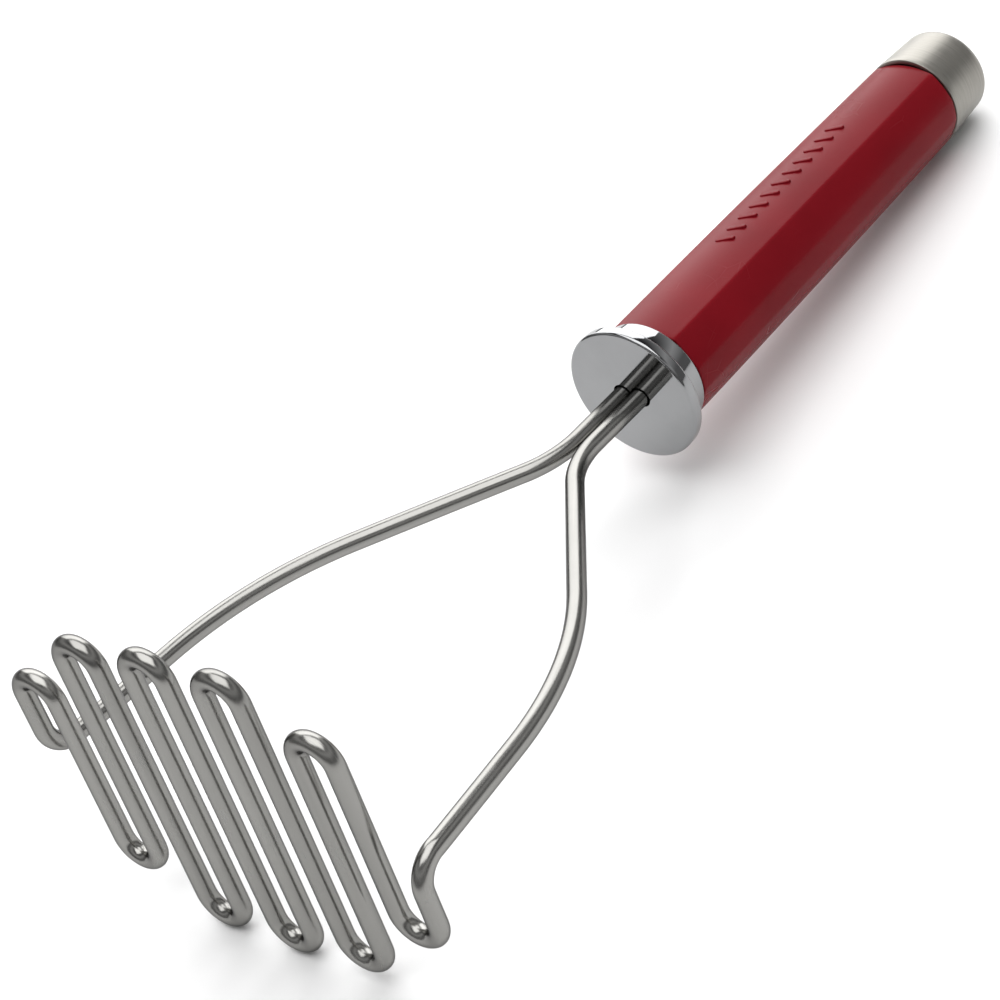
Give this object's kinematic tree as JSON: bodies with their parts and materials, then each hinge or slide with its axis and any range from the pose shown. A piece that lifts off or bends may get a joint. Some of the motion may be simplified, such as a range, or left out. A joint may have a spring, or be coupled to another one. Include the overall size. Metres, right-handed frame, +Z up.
{
  "type": "wire potato masher",
  "caption": "Wire potato masher with a zigzag steel head on long legs, a round polished bolster, a tapered faceted red grip and a brushed end cap, lying down.",
  "frame": {"origin": "on the floor, under the middle of the bounding box, with the tool lying on its lower bends and the rim of its cap", "axes": "+X runs from the head to the cap and is the grip axis but for its 5.3 degree slope down to the cap, +Y is across the strands, +Z is up and close to the direction of the strands"},
  "size_m": [0.2628, 0.097, 0.0711],
  "materials": {
    "wire_steel": "drawn stainless steel wire, smooth and shiny",
    "polished_metal": "mirror polished",
    "grip_red": "glossy red, smooth",
    "core_plastic": "plain black, not seen",
    "screw_steel": "plain steel, not seen",
    "cap_steel": "satin stainless steel with fine lines around it"
  },
  "bodies": {
    "root": {"masher_wire": "wire_steel", "bolster": "polished_metal", "grip_shell": "grip_red", "grip_core": "core_plastic", "cap_plug": "core_plastic", "cap_screw": "screw_steel", "end_cap": "cap_steel"}
  },
  "joints": []
}
